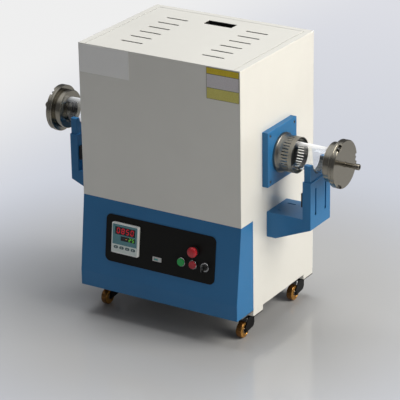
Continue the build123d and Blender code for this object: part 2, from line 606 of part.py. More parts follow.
# ===== casters =====================================================================
PLATE_TOP = CAB_BOTTOM - BLOCK_H
RACE_BOTTOM = PLATE_TOP - PLATE_T - RACE_H


def caster_plates():
    made = []
    for name, s, y in casters:
        plate = foot_pad(s, y, PLATE_TOP - PLATE_T, PLATE_TOP)
        plate = fillet(plate.edges().filter_by(Axis.Z), 2.0)
        race = Pos(s * caster_x, y, PLATE_TOP - PLATE_T - RACE_H / 2) * Cylinder(RACE_R, RACE_H)
        race = fillet(race.edges().sort_by(Axis.Z)[0], 3)
        bore = Pos(s * caster_x, y, RACE_BOTTOM) * Cylinder(KING_R + RUN, 2 * RACE_H - 2)
        made.append(plate + race - bore)
    return Compound(children=made)


def caster_fork(s, y):
    top = RACE_BOTTOM - MOVE
    x = s * caster_x
    head = Pos(x, y, top - 1.5) * Cylinder(RACE_R - 1, 3.0)
    head += Pos(x, y, top + 2) * Cylinder(KING_R, 8)
    span = WHEEL_W / 2 + FORK_GAP
    wy = y - CASTER_TRAIL
    back, low, nose = y + FORK_REAR, WHEEL_R - FORK_LOW, wy - FORK_NOSE
    head += block(x - span - FORK_T, x + span + FORK_T, y - 20, back, top - 3, top)
    leg = [(y - 24, top), (back, top), (back, low + 14), (back - 1.5, low + 8), (back - 5, low + 3.5),
           (back - 10, low + 0.8), (wy + 9, low - 2), (wy + 4, low - 4.5), (wy - 3, low - 4.5),
           (nose + 1, low - 1), (nose, WHEEL_R + 3)]
    for side in (-1, 1):
        face = Plane.YZ.offset(x + side * span) * make_face(Polyline(leg, close=True))
        head += extrude(face, side * FORK_T)
    pin = Pos(x, wy, WHEEL_R) * Rot(0, 90, 0) * Cylinder(AXLE_R, 2 * (span + FORK_T) + 3)
    head += pin
    nuts = Pos(x, wy, WHEEL_R) * Rot(0, 90, 0)
    nut = extrude(RegularPolygon(5.6, 6), 1.2, both=True)
    for side in (-1, 1):
        head += nuts * Pos(0, 0, side * (span + FORK_T + 1.2)) * nut
    return head


def caster_wheel(s, y):
    wy = y - CASTER_TRAIL
    w, r, q = WHEEL_W / 2, WHEEL_R, WHEEL_ROUND
    turns = [math.radians(v) for v in range(0, 91, 15)]
    rim = [(w - q + q * math.sin(a), r - q + q * math.cos(a)) for a in turns]
    half_line = rim + [(w, 17.5), (w - 1.5, 16.5), (w - 1.5, 9.5), (w, 8.5), (w, AXLE_R + RUN)]
    outline = half_line + [(-a, b) for a, b in reversed(half_line)]
    wheel = revolve(make_face(Polyline(outline, close=True)), Axis.X)
    return Pos(s * caster_x, wy, WHEEL_R) * wheel


# ===== write every node ============================================================
save("chassis", chassis())
save("front_panel", front_panel())
save("rear_panel", rear_panel())
save("top_panel", top_panel())
save("exhaust_duct", exhaust_duct())
save("base_cover", base_cover())
save("foot_blocks", foot_blocks())
save("rear_gland", rear_gland())
save("control_panel", control_panel())
save("controller_body", controller_body())
save("controller_face", controller_face())
save("controller_display", controller_display())
for k, (x, u) in enumerate(key_spots(), 1):
    save(f"controller_key_{k}", controller_key(x, u))
save("data_port", data_port())
save("estop_base", estop_base())
save("estop_button", estop_button())
save("button_bezels", button_bezels())
save("green_button", push_button(GREEN_X))
save("red_button", push_button(RED_X))
save("key_switch_body", key_switch_body())
save("key_switch_barrel", key_switch_barrel())
save("side_plate_screws", side_plate_screws())
save("chamber", chamber())
save("heater_set", heater_set())
save("quartz_tube", quartz_tube())
save("o_rings", o_rings())
save("caster_plates", caster_plates())
for name, s in sides:
    save(f"side_panel_{name}", side_panel(s))
    save(f"side_plate_{name}", side_plate(s))
    save(f"collar_{name}", collar(s))
    save(f"flange_{name}", flange(s))
    save(f"end_cap_{name}", end_cap(s))
    save(f"cap_screws_{name}", cap_screws(s))
    save(f"gas_pipe_{name}", gas_pipe(s))
    save(f"bracket_{name}", bracket(s))
    save(f"cradle_{name}", cradle(s))
    save(f"notch_lining_{name}", notch_lining(s))
    save(f"clamp_set_{name}", clamp_set(s))
for name, s, y in casters:
    save(f"caster_fork_{name}", caster_fork(s, y))
    save(f"caster_wheel_{name}", caster_wheel(s, y))
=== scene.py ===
import bpy
import bmesh
import json
import math
from mathutils import Matrix, Vector

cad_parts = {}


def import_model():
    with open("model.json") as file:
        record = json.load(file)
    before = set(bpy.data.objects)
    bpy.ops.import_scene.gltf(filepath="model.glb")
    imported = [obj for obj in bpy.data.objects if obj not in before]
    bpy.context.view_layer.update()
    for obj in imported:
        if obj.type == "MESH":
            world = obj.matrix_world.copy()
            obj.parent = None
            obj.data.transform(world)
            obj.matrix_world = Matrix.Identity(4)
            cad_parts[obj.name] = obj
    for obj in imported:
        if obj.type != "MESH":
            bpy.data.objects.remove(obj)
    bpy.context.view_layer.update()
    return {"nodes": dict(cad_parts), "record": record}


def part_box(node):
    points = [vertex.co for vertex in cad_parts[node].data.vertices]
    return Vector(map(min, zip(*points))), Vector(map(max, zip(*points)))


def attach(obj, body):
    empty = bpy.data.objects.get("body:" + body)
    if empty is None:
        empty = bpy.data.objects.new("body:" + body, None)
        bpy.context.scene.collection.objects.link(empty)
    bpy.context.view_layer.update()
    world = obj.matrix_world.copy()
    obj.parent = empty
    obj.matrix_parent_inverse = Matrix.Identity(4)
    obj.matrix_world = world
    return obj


# Tube furnace on casters: looks, small fittings, lights and camera.
# Metres, same frame as the CAD: X along the tube, Y to the back, Z up, origin on the floor.

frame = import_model()
nodes = frame["nodes"]

# ---- where things are ------------------------------------------------------
def middle(name):
    low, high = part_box(name)
    return (low + high) / 2


front_low, front_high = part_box("front_panel")
rear_low, rear_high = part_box("rear_panel")
cover_low, cover_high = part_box("base_cover")
FRONT_Y = front_low.y                      # white front face
REAR_Y = rear_high.y

TUBE_R, TUBE_WALL = 0.040, 0.003
TUBE_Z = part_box("quartz_tube")[0].z + TUBE_R
TUBE_SKIN_R = TUBE_R - TUBE_WALL / 2       # half way through its wall

# slanted face of the blue cover: its top edge, its foot and how far the foot stands out
SPLIT_Z, CREASE_Z, NOSE = cover_high.z, 0.144, FRONT_Y - cover_low.y
SLANT = math.atan2(NOSE, SPLIT_Z - CREASE_Z)
OUT = Vector((0, -math.cos(SLANT), math.sin(SLANT)))     # away from the control panel
UP = Vector((0, math.sin(SLANT), math.cos(SLANT)))       # up its slope
PANEL_ORIGIN = Vector((0, FRONT_Y, SPLIT_Z))

# controller: its middle across and down the slope, then its pale strip and keys from there
face_middle = middle("controller_face")
CTRL_X, CTRL_U = face_middle.x, (PANEL_ORIGIN - face_middle).dot(UP)
CTRL_STRIP_U, KEY_U = 0.0195, 0.0285
WINDOW_FACE, KEY_FACE = 0.0109, 0.0130     # how far the display and the keys stand out
PORT_X, PORT_U = middle("data_port").x - 0.0030, 0.1540      # the insert sits left of its middle
INSERT_W, INSERT_H, INSERT_R = 0.0120, 0.0032, 0.0006
INSERT_SINK, INSERT_OUT = 0.0020, 0.0036   # behind and in front of the slope
MARK_SINK, MARK_OUT = 0.00004, 0.00010     # into and out of a key's face
SIGN_OUT = 0.00015                         # how far a lit bar stands out of the display

# bare plates on the front (x from, x to, z from, z to) and where one plate's bands meet
LEFT_X, RIGHT_X, TOP_Z = front_low.x, front_high.x, front_high.z
PLATE_IN = 0.0030                          # from the front's left and right edges
NAME_PLATE = (LEFT_X + PLATE_IN, LEFT_X + 0.1784, TOP_Z - 0.0904, TOP_Z - 0.0024)
BANDED_PLATE = (RIGHT_X - 0.1130, RIGHT_X - PLATE_IN, TOP_Z - 0.0990, TOP_Z - 0.0033)
BAND_Z = (TOP_Z - 0.0650, TOP_Z - 0.0230)

# rear screws: four down each side and two in the middle, near the panel's ends
SCREW_SIDE, SCREW_END = 0.0140, 0.0160     # in from the cabinet's sides and the panel's ends
SCREW_XS = (LEFT_X + SCREW_SIDE, 0.0, RIGHT_X - SCREW_SIDE)
SCREW_ZS = (rear_low.z + SCREW_END, 0.380, 0.620, rear_high.z - SCREW_END)
WHEEL_TREAD, WHEEL_HUB_R = 0.0018, 0.0092  # the tread's depth and the plain hub


def on_panel(x, u, h):
    """Point at x, u below the slope's top edge and h outwards of it."""
    return PANEL_ORIGIN + Vector((x, 0, 0)) - UP * u + OUT * h


def panel_matrix(x, u, h):
    """Local X to the right, Y up the slope, Z outwards."""
    m = Matrix((Vector((1, 0, 0)), UP, OUT)).transposed().to_4x4()
    m.translation = on_panel(x, u, h)
    return m


# ---- shader helpers ----------------------------------------------------------
class Shader:
    """A material's node tree, built a node at a time."""

    def __init__(self, name):
        self.mat = bpy.data.materials.new(name)
        self.mat.use_nodes = True
        self.tree = self.mat.node_tree
        self.bsdf = self.tree.nodes["Principled BSDF"]

    def add(self, kind, **values):
        node = self.tree.nodes.new(kind)
        for key, value in values.items():
            if hasattr(node, key):
                setattr(node, key, value)
            else:
                node.inputs[key.replace("_", " ")].default_value = value
        return node

    def link(self, a, b):
        self.tree.links.new(a, b)

    def set(self, **values):
        for key, value in values.items():
            self.bsdf.inputs[key.replace("_", " ")].default_value = value

    def coords(self, scale=(1, 1, 1)):
        place = self.add("ShaderNodeTexCoord")
        mapping = self.add("ShaderNodeMapping")
        mapping.inputs["Scale"].default_value = scale
        self.link(place.outputs["Object"], mapping.inputs["Vector"])
        return mapping.outputs["Vector"]

    def noise(self, scale, detail=3.0, stretch=(1, 1, 1), rough=0.55):
        node = self.add("ShaderNodeTexNoise", Scale=scale, Detail=detail, Roughness=rough)
        self.link(self.coords(stretch), node.inputs["Vector"])
        return node.outputs["Fac"]

    def ramp(self, fac, stops):
        node = self.add("ShaderNodeValToRGB")
        ramp = node.color_ramp
        while len(ramp.elements) < len(stops):
            ramp.elements.new(0.5)
        for element, (at, colour) in zip(ramp.elements, stops):
            element.position = at
            element.color = (*colour, 1)
        self.link(fac, node.inputs["Fac"])
        return node.outputs["Color"]

    def math(self, operation, a, b=None):
        node = self.add("ShaderNodeMath", operation=operation)
        for socket, value in zip(node.inputs, (a, b)):
            if value is None:
                continue
            if isinstance(value, (int, float)):
                socket.default_value = value
            else:
                self.link(value, socket)
        return node.outputs["Value"]

    def mix(self, fac, a, b):
        node = self.add("ShaderNodeMix", data_type="RGBA")
        sockets = [s for s in node.inputs if s.type in ("RGBA",)]
        for socket, value in ((node.inputs[0], fac), (sockets[0], a), (sockets[1], b)):
            if isinstance(value, tuple):
                socket.default_value = (*value, 1)
            elif isinstance(value, (int, float)):
                socket.default_value = value
            else:
                self.link(value, socket)
        return [s for s in node.outputs if s.type == "RGBA"][0]

    def edge(self, radius):
        """(rounded normal, mask that is 1 along sharp edges)."""
        bevel = self.add("ShaderNodeBevel", samples=6, Radius=radius)
        flat = self.add("ShaderNodeNewGeometry")
        dot = self.add("ShaderNodeVectorMath", operation="DOT_PRODUCT")
        self.link(bevel.outputs["Normal"], dot.inputs[0])
        self.link(flat.outputs["Normal"], dot.inputs[1])
        span = self.add("ShaderNodeMapRange", From_Min=0.995, From_Max=0.86)
        self.link(dot.outputs["Value"], span.inputs["Value"])
        return bevel.outputs["Normal"], span.outputs["Result"]

    def bump(self, height, strength, distance, normal=None):
        node = self.add("ShaderNodeBump", Strength=strength, Distance=distance)
        self.link(height, node.inputs["Height"])
        if normal is not None:
            self.link(normal, node.inputs["Normal"])
        self.link(node.outputs["Normal"], self.bsdf.inputs["Normal"])

    def about_tube(self):
        """(place along the tube, distance from its axis)."""
        place = self.add("ShaderNodeTexCoord")
        split = self.add("ShaderNodeSeparateXYZ")
        self.link(place.outputs["Object"], split.inputs["Vector"])
        height = self.math("SUBTRACT", split.outputs["Z"], TUBE_Z)
        y2 = self.math("MULTIPLY", split.outputs["Y"], split.outputs["Y"])
        z2 = self.math("MULTIPLY", height, height)
        return split.outputs["X"], self.math("SQRT", self.math("ADD", y2, z2))

    def spread(self, fac, low, high):
        """Roughness between low and high."""
        node = self.add("ShaderNodeMapRange", To_Min=low, To_Max=high)
        self.link(fac, node.inputs["Value"])
        return node.outputs["Result"]


def shade(colour, k):
    return tuple(min(1.0, c * k) for c in colour)


PAINT_EDGE_R, METAL_EDGE_R, TURNED_EDGE_R, PLASTIC_EDGE_R = 0.0006, 0.0005, 0.0006, 0.0004
STAIN = 0.1            # how far spots darken bare metal


def paint(name, colour, rough=0.3, peel=0.35, wear_and_highlight=0.10, coat=0.0, depth=1.0, gloss=0.5):
    """Sprayed or powder-coated sheet: faint clouding, orange peel and lighter edges, partly wear and
    partly a painted highlight.
    """
    s = Shader(name)
    cloud = s.noise(3.2, 4)
    tone = s.ramp(cloud, [(0.30, shade(colour, 1 - 0.035 * depth)),
                          (0.70, shade(colour, 1 + 0.03 * depth))])
    speck = s.math("GREATER_THAN", s.noise(420, 2), 0.66)
    tone = s.mix(s.math("MULTIPLY", speck, 0.16), tone, shade(colour, 0.82))
    normal, edge = s.edge(PAINT_EDGE_R)
    # Sharp edges lightened in patches: wear plus a painted edge highlight.
    edge_wear_and_highlight = s.math("MULTIPLY", edge, s.spread(s.noise(38, 3), 0.0, wear_and_highlight * 2))
    tone = s.mix(edge_wear_and_highlight, tone, tuple(0.6 * c + 0.34 for c in colour))
    s.link(tone, s.bsdf.inputs["Base Color"])
    s.link(s.spread(s.noise(14, 3), rough - 0.04, rough + 0.05), s.bsdf.inputs["Roughness"])
    s.bump(s.noise(560, 2), peel * 0.25, 0.0001, normal)
    s.set(Coat_Weight=coat, Coat_Roughness=0.03, IOR=1.5, Specular_IOR_Level=gloss)
    return s.mat


def metal(name, colour, rough, stretch=(1, 1, 1), grain=900, strength=0.25):
    """Brushed or turned metal: grain drawn out along one direction, faint staining and a painted
    highlight along sharp edges.
    """
    s = Shader(name)
    lines = s.noise(grain, 3, stretch)
    spots = s.noise(26, 4)
    tone = s.ramp(lines, [(0.25, shade(colour, 0.84)), (0.75, shade(colour, 1.10))])
    tone = s.mix(s.math("MULTIPLY", spots, STAIN), tone, shade(colour, 0.55))
    normal, edge = s.edge(METAL_EDGE_R)
    # Painted highlight: sharp edges mixed toward a colour 35% lighter.
    tone = s.mix(s.math("MULTIPLY", edge, 0.4), tone, shade(colour, 1.35))
    s.link(tone, s.bsdf.inputs["Base Color"])
    s.link(s.spread(s.math("ADD", s.math("MULTIPLY", lines, 0.6), s.math("MULTIPLY", spots, 0.4)),
                    rough - 0.08, rough + 0.10), s.bsdf.inputs["Roughness"])
    s.bump(lines, strength, 0.00005, normal)
    s.set(Metallic=1.0)
    return s.mat


def turned(name, colour, rough, rings=2600):
    """Metal turned about the tube axis: rings of fine tool marks on every face, and a painted highlight
    along sharp edges.
    """
    s = Shader(name)
    along, radius = s.about_tube()
    join = s.add("ShaderNodeCombineXYZ")
    s.link(along, join.inputs["X"])
    s.link(radius, join.inputs["Y"])
    marks = s.add("ShaderNodeTexNoise", Scale=rings, Detail=3.0)
    s.link(join.outputs["Vector"], marks.inputs["Vector"])
    lines = marks.outputs["Fac"]
    spots = s.noise(30, 4)
    tone = s.ramp(lines, [(0.25, shade(colour, 0.86)), (0.75, shade(colour, 1.10))])
    tone = s.mix(s.math("MULTIPLY", spots, STAIN), tone, shade(colour, 0.5))
    normal, edge = s.edge(TURNED_EDGE_R)
    # Painted highlight: sharp edges mixed toward a colour 40% lighter.
    tone = s.mix(s.math("MULTIPLY", edge, 0.4), tone, shade(colour, 1.4))
    s.link(tone, s.bsdf.inputs["Base Color"])
    s.link(s.spread(lines, rough - 0.07, rough + 0.09), s.bsdf.inputs["Roughness"])
    s.bump(lines, 0.3, 0.00004, normal)
    s.set(Metallic=1.0)
    return s.mat


def plastic(name, colour, rough, grain=700, strength=0.2, coat=0.0):
    """Moulded plastic or rubber: faint mottling, dust and a fine grain."""
    s = Shader(name)
    tone = s.ramp(s.noise(22, 4), [(0.3, shade(colour, 0.93)), (0.7, shade(colour, 1.06))])
    dust = s.noise(180, 2)
    tone = s.mix(s.math("MULTIPLY", s.math("GREATER_THAN", dust, 0.7), 0.12), tone,
                 tuple(0.7 * c + 0.12 for c in colour))
    s.link(tone, s.bsdf.inputs["Base Color"])
    s.link(s.spread(s.noise(60, 3), rough - 0.06, rough + 0.08), s.bsdf.inputs["Roughness"])
    normal, _ = s.edge(PLASTIC_EDGE_R)
    s.bump(s.noise(grain, 2), strength, 0.00006, normal)
    s.set(Coat_Weight=coat, Coat_Roughness=0.05)
    return s.mat


def glow(name, colour, strength):
    """Lit display segments with a slightly uneven glow."""
    s = Shader(name)
    tone = s.ramp(s.noise(900, 2), [(0.3, shade(colour, 0.8)), (0.7, colour)])
    s.link(tone, s.bsdf.inputs["Base Color"])
    s.link(tone, s.bsdf.inputs["Emission Color"])
    s.set(Emission_Strength=strength, Roughness=0.5)
    return s.mat


def quartz(name):
    """Clear fused quartz with a painted white highlight along its upper edge; its shadow is a light
    one.
    """
    s = Shader(name)
    s.set(Transmission_Weight=1.0, IOR=1.46, Roughness=0.02)
    tint = s.ramp(s.noise(9, 3, (0.3, 1, 1)), [(0.3, (0.955, 0.968, 0.975)), (0.7, (0.99, 0.995, 1.0))])
    s.link(tint, s.bsdf.inputs["Base Color"])
    s.bump(s.noise(12, 2, (0.2, 1, 1)), 0.02, 0.0004)
    out = s.tree.nodes["Material Output"]
    rim = s.add("ShaderNodeLayerWeight", Blend=0.5)
    band = s.add("ShaderNodeMapRange", From_Min=0.26, From_Max=0.70, To_Max=0.85)
    s.link(rim.outputs["Facing"], band.inputs["Value"])
    side = s.add("ShaderNodeNewGeometry")
    turn = s.add("ShaderNodeSeparateXYZ")
    s.link(side.outputs["Normal"], turn.inputs["Vector"])
    upper = s.add("ShaderNodeMapRange", From_Min=0.0, From_Max=0.5)
    s.link(turn.outputs["Z"], upper.inputs["Value"])
    _, radius = s.about_tube()
    outside = s.math("MULTIPLY", s.math("SUBTRACT", 1.0, side.outputs["Backfacing"]),
                     s.math("GREATER_THAN", radius, TUBE_SKIN_R))
    # Painted highlight: a white diffuse band where the outer skin faces up at a glancing angle.
    painted_highlight = s.math("MULTIPLY", band.outputs["Result"], upper.outputs["Result"])
    painted_highlight = s.math("MULTIPLY", painted_highlight, outside)
    highlight_white = s.add("ShaderNodeBsdfDiffuse", Color=(0.95, 0.96, 0.97, 1))
    body = s.add("ShaderNodeMixShader")
    s.link(painted_highlight, body.inputs["Fac"])
    s.link(s.bsdf.outputs["BSDF"], body.inputs[1])
    s.link(highlight_white.outputs["BSDF"], body.inputs[2])
    clear = s.add("ShaderNodeBsdfTransparent")
    clear.inputs["Color"].default_value = (0.93, 0.95, 0.96, 1)
    path = s.add("ShaderNodeLightPath")
    mix = s.add("ShaderNodeMixShader")
    s.link(path.outputs["Is Shadow Ray"], mix.inputs["Fac"])
    s.link(body.outputs["Shader"], mix.inputs[1])
    s.link(clear.outputs["BSDF"], mix.inputs[2])
    s.link(mix.outputs["Shader"], out.inputs["Surface"])
    return s.mat


# ---- materials ---------------------------------------------------------------
WHITE = (0.83, 0.82, 0.765)
BLUE = (0.026, 0.175, 0.40)
mats = {
    # Painted shade: the chassis, seen only through seams and slots, is dark grey so they read dark.
    "frame_steel": paint("frame_steel", (0.14, 0.145, 0.15), rough=0.5),
    "white_paint": paint("white_paint", WHITE, rough=0.20, peel=0.10, coat=0.5),
    "blue_paint": paint("blue_paint", BLUE, rough=0.40, depth=1.6, gloss=0.4),
    "plate_blue": paint("plate_blue", BLUE, rough=0.40, depth=1.6, gloss=0.3),
    "panel_black": paint("panel_black", (0.009, 0.009, 0.008), rough=0.42, wear_and_highlight=0.02, gloss=0.15),
    "controller_plastic": plastic("controller_plastic", (0.90, 0.93, 0.91), rough=0.4),
    "display_window": plastic("display_window", (0.006, 0.006, 0.007), rough=0.12, strength=0.05),
    "key_rubber": plastic("key_rubber", (0.10, 0.17, 0.18), rough=0.5),
    "port_metal": metal("port_metal", (0.62, 0.62, 0.60), rough=0.35, stretch=(1, 8, 8)),
    "black_plastic": plastic("black_plastic", (0.02, 0.02, 0.02), rough=0.4),
    "red_plastic": plastic("red_plastic", (0.55, 0.02, 0.03), rough=0.28, coat=0.3),
    "red_cap_plastic": plastic("red_cap_plastic", (0.52, 0.03, 0.045), rough=0.32),
    "green_plastic": plastic("green_plastic", (0.02, 0.42, 0.09), rough=0.32),
    "chrome_ring": metal("chrome_ring", (0.34, 0.34, 0.34), rough=0.16, grain=300, strength=0.08),
    "key_steel": metal("key_steel", (0.14, 0.14, 0.137), rough=0.3, stretch=(1, 1, 6)),
    "screw_steel": metal("screw_steel", (0.24, 0.24, 0.24), rough=0.35, grain=600),
    "clamp_black": paint("clamp_black", (0.018, 0.018, 0.019), rough=0.4, gloss=0.3),
    "duct_black": paint("duct_black", (0.012, 0.012, 0.012), rough=0.6, gloss=0.2),
    "collar_steel": turned("collar_steel", (0.29, 0.28, 0.25), rough=0.34, rings=1500),
    "flange_steel": turned("flange_steel", (0.335, 0.312, 0.26), rough=0.17),
    "pipe_steel": turned("pipe_steel", (0.26, 0.24, 0.20), rough=0.24),
    "heater_metal": metal("heater_metal", (0.28, 0.25, 0.23), rough=0.5),
    "fibre_board": plastic("fibre_board", (0.85, 0.83, 0.77), rough=0.85, grain=260, strength=0.8),
    "quartz": quartz("quartz"),
    "seal_rubber": plastic("seal_rubber", (0.02, 0.02, 0.02), rough=0.6),
    # Painted shade: near-black navy lining in the cradle notch, standing for the cradle's blue in
    # shadow.
    "lining_rubber": plastic("lining_rubber", (0.004, 0.018, 0.030), rough=0.75),
    "caster_black": paint("caster_black", (0.003, 0.003, 0.0035), rough=0.4, wear_and_highlight=0.02, gloss=0.2),
    "red_glow": glow("red_glow", (0.50, 0.006, 0.02), 0.55),
    "green_glow": glow("green_glow", (0.09, 0.42, 0.03), 0.7),
    "amber_glow": glow("amber_glow", (0.60, 0.30, 0.02), 0.7),
    "mark_white": plastic("mark_white", (0.68, 0.74, 0.72), rough=0.5),
    "teal_insert": plastic("teal_insert", (0.05, 0.55, 0.52), rough=0.4),
    "plate_film": paint("plate_film", (0.97, 0.97, 0.95), rough=0.30, peel=0.05, wear_and_highlight=0.04),
    "rear_screw": metal("rear_screw", (0.50, 0.50, 0.48), rough=0.3, grain=500),
}


def controller_film():
    """Printed face: teal above, pale strip with the keys below, split by a line."""
    s = Shader("controller_film")
    place = s.add("ShaderNodeTexCoord")
    dot = s.add("ShaderNodeVectorMath", operation="DOT_PRODUCT")
    s.link(place.outputs["Object"], dot.inputs[0])
    dot.inputs[1].default_value = UP
    strip_top = on_panel(CTRL_X, CTRL_U + CTRL_STRIP_U, 0).dot(UP)
    lower = s.math("LESS_THAN", dot.outputs["Value"], strip_top)
    grain = s.noise(240, 3)
    teal = s.ramp(grain, [(0.3, (0.10, 0.26, 0.30)), (0.7, (0.13, 0.31, 0.35))])
    pale = s.ramp(grain, [(0.3, (0.76, 0.84, 0.81)), (0.7, (0.82, 0.89, 0.86))])
    s.link(s.mix(lower, teal, pale), s.bsdf.inputs["Base Color"])
    s.link(s.spread(s.noise(40, 3), 0.38, 0.5), s.bsdf.inputs["Roughness"])
    s.bump(s.noise(900, 2), 0.12, 0.00004)
    return s.mat


def caster_wheel_material(body):
    """Gold-brown wheel with a darker tread and a plain hub; rings worked out from the axle."""
    low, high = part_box(body)
    mid = (low + high) / 2
    s = Shader(f"{body}_finish")
    place = s.add("ShaderNodeTexCoord")
    away = s.add("ShaderNodeVectorMath", operation="SUBTRACT")
    s.link(place.outputs["Object"], away.inputs[0])
    away.inputs[1].default_value = mid
    split = s.add("ShaderNodeSeparateXYZ")
    s.link(away.outputs["Vector"], split.inputs["Vector"])
    y2 = s.math("MULTIPLY", split.outputs["Y"], split.outputs["Y"])
    z2 = s.math("MULTIPLY", split.outputs["Z"], split.outputs["Z"])
    radius = s.math("SQRT", s.math("ADD", y2, z2))
    tread = s.math("GREATER_THAN", radius, (high.y - low.y) / 2 - WHEEL_TREAD)
    hub = s.math("LESS_THAN", radius, WHEEL_HUB_R)
    grain = s.noise(300, 3)
    gold = s.ramp(grain, [(0.3, (0.48, 0.235, 0.045)), (0.7, (0.60, 0.31, 0.075))])
    dark = s.ramp(grain, [(0.3, (0.17, 0.075, 0.018)), (0.7, (0.24, 0.11, 0.03))])
    tone = s.mix(tread, gold, dark)
    tone = s.mix(hub, tone, (0.30, 0.29, 0.27))
    s.link(tone, s.bsdf.inputs["Base Color"])
    s.link(s.spread(s.noise(90, 3), 0.14, 0.28), s.bsdf.inputs["Roughness"])
    s.set(Metallic=0.75)
    normal, _ = s.edge(METAL_EDGE_R)
    s.bump(s.noise(500, 2), 0.2, 0.0001, normal)
    return s.mat


mats["controller_film"] = controller_film()
record_slots = {p["node"]: p["material_slot"] for p in frame["record"]["subparts"]}
for name, obj in nodes.items():
    slot = record_slots[name]
    mat = caster_wheel_material(name) if slot == "caster_wheel" else mats[slot]
    obj.data.materials.clear()
    obj.data.materials.append(mat)
    obj.data.shade_smooth()
    obj.data.set_sharp_from_angle(angle=math.radians(24))


# ---- mesh helpers ------------------------------------------------------------
def piece(name, bm, material, body):
    mesh = bpy.data.meshes.new(name)
    bmesh.ops.recalc_face_normals(bm, faces=bm.faces)
    bm.to_mesh(mesh)
    bm.free()
    obj = bpy.data.objects.new(name, mesh)
    bpy.context.scene.collection.objects.link(obj)
    obj.data.materials.append(mats[material])
    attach(obj, body)
    return obj


def prism(bm, outline, low, high, matrix=Matrix.Identity(4)):
    """Closed prism over a flat outline of (x, y) points, from z low to z high."""
    rings = [[bm.verts.new(matrix @ Vector((x, y, z))) for x, y in outline] for z in (low, high)]
    bm.faces.new(list(reversed(rings[0])))
    bm.faces.new(rings[1])
    count = len(outline)
    for i in range(count):
        j = (i + 1) % count
        bm.faces.new((rings[0][i], rings[0][j], rings[1][j], rings[1][i]))


def rounded(w, h, r, steps=4):
    """Outline of a w by h rectangle with corner radius r."""
    points = []
    for cx, cy, start in ((w / 2 - r, h / 2 - r, 0), (r - w / 2, h / 2 - r, 90),
                          (r - w / 2, r - h / 2, 180), (w / 2 - r, r - h / 2, 270)):
        for k in range(steps + 1):
            a = math.radians(start + 90 * k / steps)
            points.append((cx + r * math.cos(a), cy + r * math.sin(a)))
    return points


def circle(r, count=24):
    turns = [2 * math.pi * k / count for k in range(count)]
    return [(r * math.cos(a), r * math.sin(a)) for a in turns]


def skin(bm, rings):
    """Closed skin over rings of as many corners each, with flat ends."""
    for low, high in zip(rings, rings[1:]):
        for i in range(len(low)):
            j = (i + 1) % len(low)
            bm.faces.new((low[i], low[j], high[j], high[i]))
    bm.faces.new(rings[-1])
    bm.faces.new(list(reversed(rings[0])))


# ---- display digits ------------------------------------------------------------
SEGMENTS = {"0": "abcdef", "1": "bc", "2": "abged", "3": "abgcd", "4": "fgbc", "5": "afgcd",
            "6": "afgedc", "7": "abc", "8": "abcdefg", "9": "abcdfg", "-": "g", " ": ""}


def digit(bm, sign, x, y, w, h, t, matrix, lean=0.10):
    """Seven-segment sign of size w by h about (x, y), drawn as thin raised bars."""
    gap = t * 0.12
    half_w, half_h = w / 2 - t / 2, h / 2 - t / 2
    bars = {"a": (0, half_h, True), "g": (0, 0, True), "d": (0, -half_h, True),
            "f": (-half_w, half_h / 2, False), "b": (half_w, half_h / 2, False),
            "e": (-half_w, -half_h / 2, False), "c": (half_w, -half_h / 2, False)}
    for key in SEGMENTS[sign]:
        cx, cy, flat = bars[key]
        run = (half_w if flat else half_h / 2) - gap
        tip = max(run - t / 2, t * 0.2)
        bar = [(-run, 0), (-tip, t / 2), (tip, t / 2), (run, 0), (tip, -t / 2), (-tip, -t / 2)]
        if not flat:
            bar = [(b, a) for a, b in bar]
        points = [(x + cx + a + lean * (cy + b), y + cy + b) for a, b in bar]
        prism(bm, points, 0, SIGN_OUT, matrix)


def digits(name, text, x, y, pitch, w, h, t, material, body="cabinet"):
    bm = bmesh.new()
    matrix = panel_matrix(CTRL_X, CTRL_U, WINDOW_FACE)
    for k, sign in enumerate(text):
        digit(bm, sign, x + k * pitch, y, w, h, t, matrix)
    return piece(name, bm, material, body)


# name, signs, place and spacing of the first sign, then each sign's width, height and bar
digits("display_upper_digits", "0850", -0.0245, 0.0244, 0.0165, 0.0112, 0.0185, 0.0026, "red_glow")
digits("display_lower_digits", "25", 0.0175, 0.0012, 0.0115, 0.0078, 0.0118, 0.0018, "green_glow")
digits("display_lower_dash", "-", 0.0045, 0.0012, 0.0115, 0.0062, 0.0110, 0.0018, "amber_glow")


